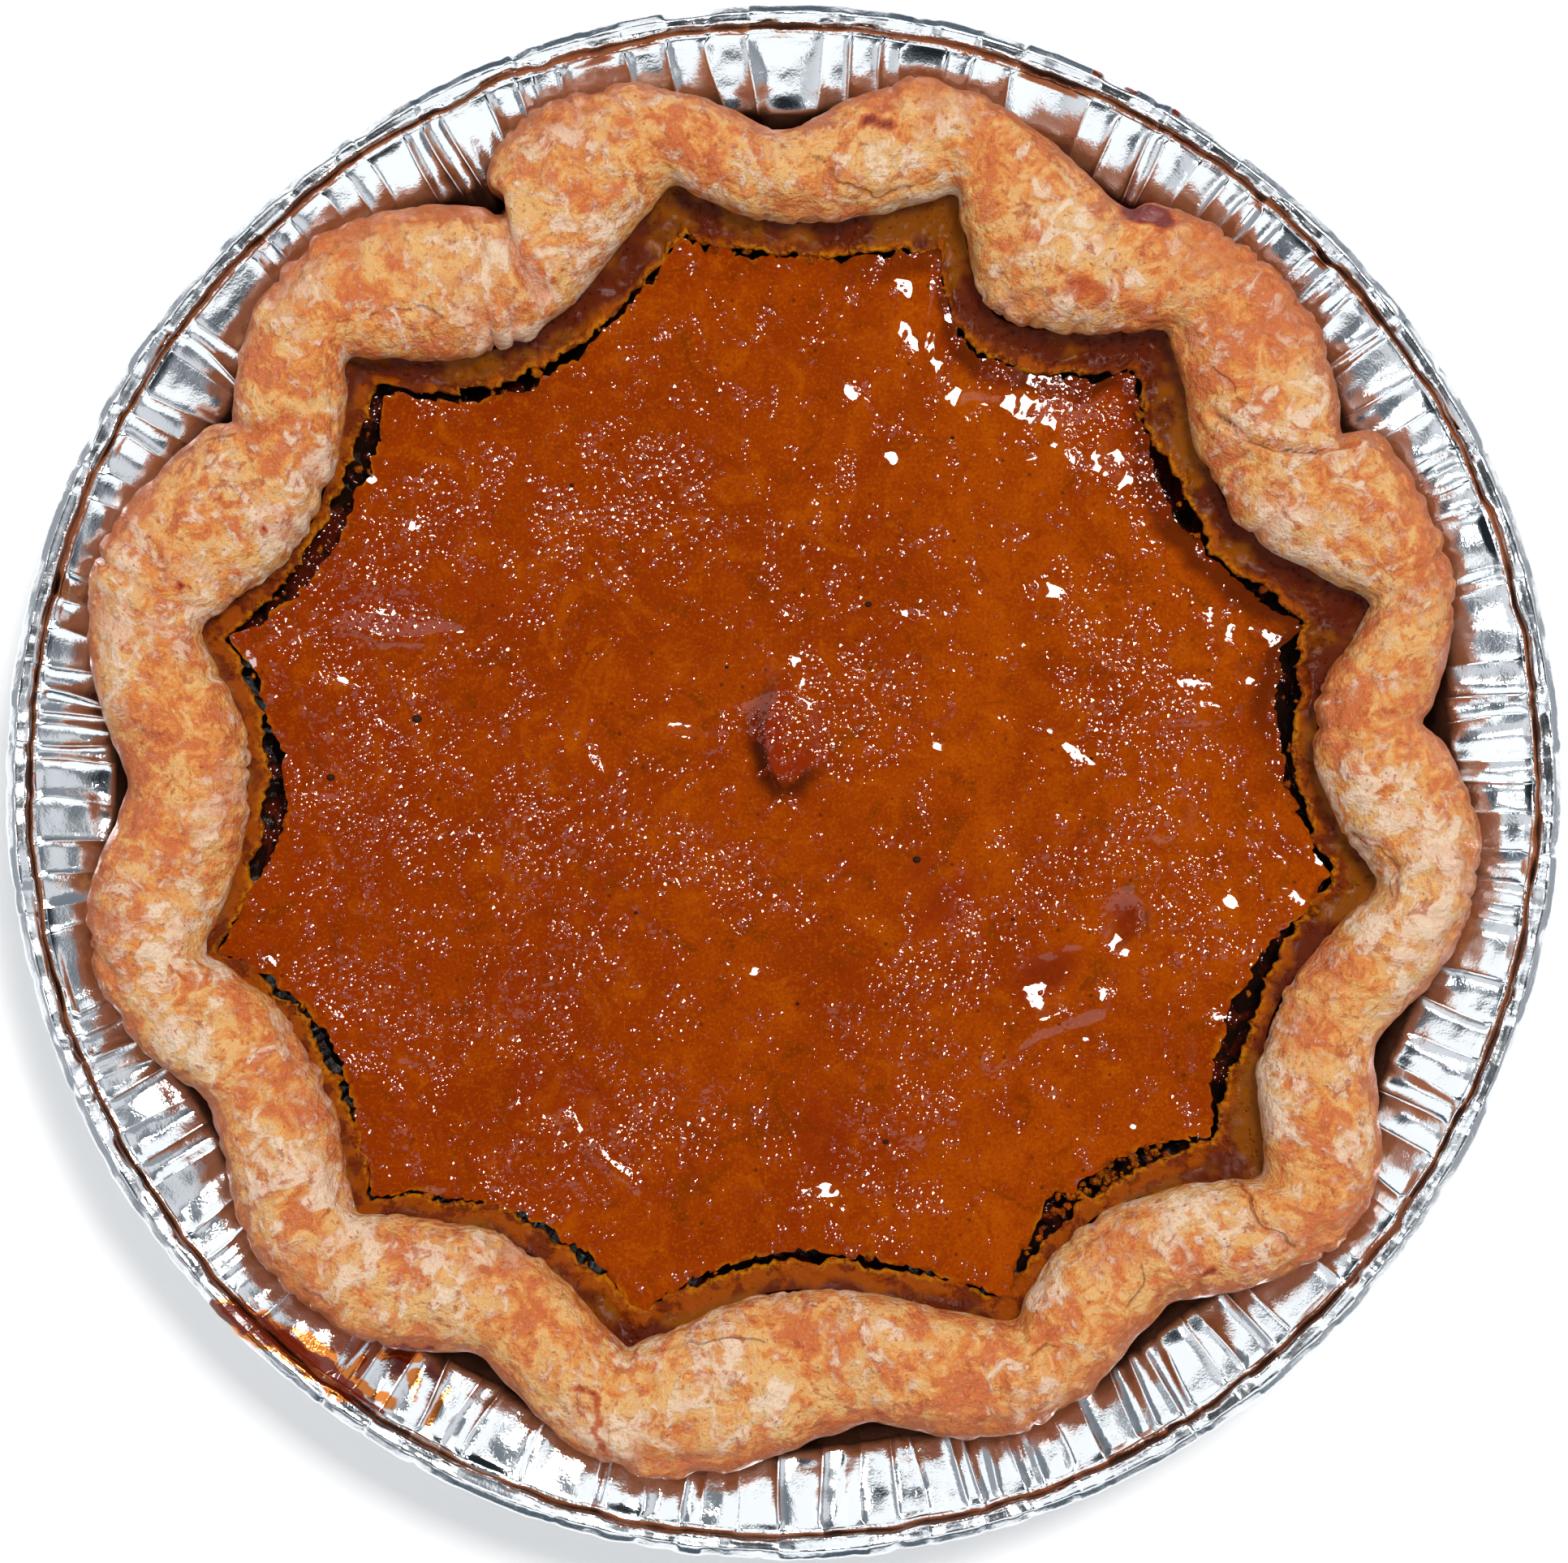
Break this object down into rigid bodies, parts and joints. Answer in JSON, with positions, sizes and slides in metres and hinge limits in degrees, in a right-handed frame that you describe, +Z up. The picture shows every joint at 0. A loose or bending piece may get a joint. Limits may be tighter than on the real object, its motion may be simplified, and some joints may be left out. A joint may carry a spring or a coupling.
{
  "type": "pumpkin pie",
  "caption": "Whole pumpkin pie with a rolled, wavy crimped crust and a glossy burnt-orange filling cracked away from the pastry, baked in a pleated foil tin.",
  "frame": {"origin": "middle of the tin's flat underside", "axes": "+Z up through the pie, +X to the right and +Y away when the pie is seen from above as served"},
  "size_m": [0.23, 0.23, 0.0335],
  "materials": {
    "foil": "bright crinkled foil",
    "pastry": "baked golden pastry with pale and brown mottling",
    "custard": "glossy set custard with fine pores",
    "torn_custard": "rough torn custard"
  },
  "bodies": {
    "root": {"foil_tin": "foil", "crust": "pastry", "filling": "custard", "filling_edge": "torn_custard"}
  },
  "joints": []
}
